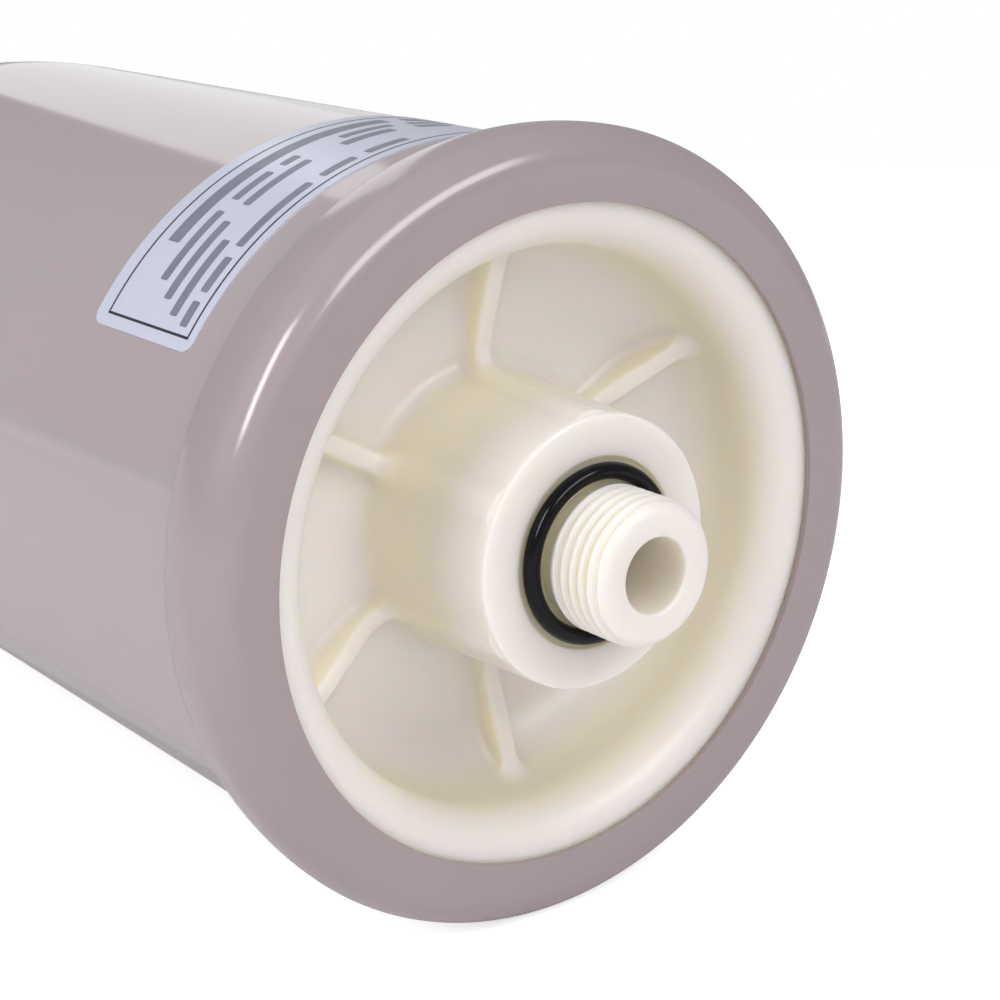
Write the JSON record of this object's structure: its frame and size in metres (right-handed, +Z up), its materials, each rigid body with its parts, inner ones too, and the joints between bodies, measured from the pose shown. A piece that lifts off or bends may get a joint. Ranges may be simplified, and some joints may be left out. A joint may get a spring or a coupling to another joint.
{
  "type": "well pressure tank",
  "caption": "Small painted steel pressure tank: crimped ring, moulded port flange with ribbed recess and threaded nipple, inner rubber bladder, capped gas valve.",
  "frame": {"origin": "on the tank's axis, at the inner end of the inlet thread", "axes": "+X out of the nipple along the tank's axis, +Z up, so that the tank lies along X"},
  "size_m": [0.2508, 0.116, 0.116],
  "materials": {
    "shell_paint": "glossy mauve-grey paint",
    "ring_paint": "glossy mauve-grey paint",
    "port_plastic": "natural cream moulded plastic, slightly translucent",
    "seal_rubber": "black rubber, slightly glossy",
    "label_film": "silver-blue film",
    "bladder_rubber": "black rubber",
    "button_plastic": "natural plastic",
    "valve_brass": "turned",
    "plated_steel": "zinc plated",
    "cap_plastic": "black moulded plastic"
  },
  "bodies": {
    "root": {"tank_shell": "shell_paint", "clamp_ring": "ring_paint", "port_flange": "port_plastic", "port_o_ring": "seal_rubber", "data_label": "label_film", "bladder": "bladder_rubber", "bladder_button": "button_plastic", "gas_valve_stem": "valve_brass", "stem_gasket": "seal_rubber", "stem_washer": "plated_steel", "stem_nut": "plated_steel", "valve_cap": "cap_plastic", "valve_cap_seal": "seal_rubber", "valve_core_barrel": "valve_brass", "valve_core_gasket": "seal_rubber", "valve_core_pin": "plated_steel", "valve_core_spring": "plated_steel", "valve_core_seal": "seal_rubber"}
  },
  "joints": []
}
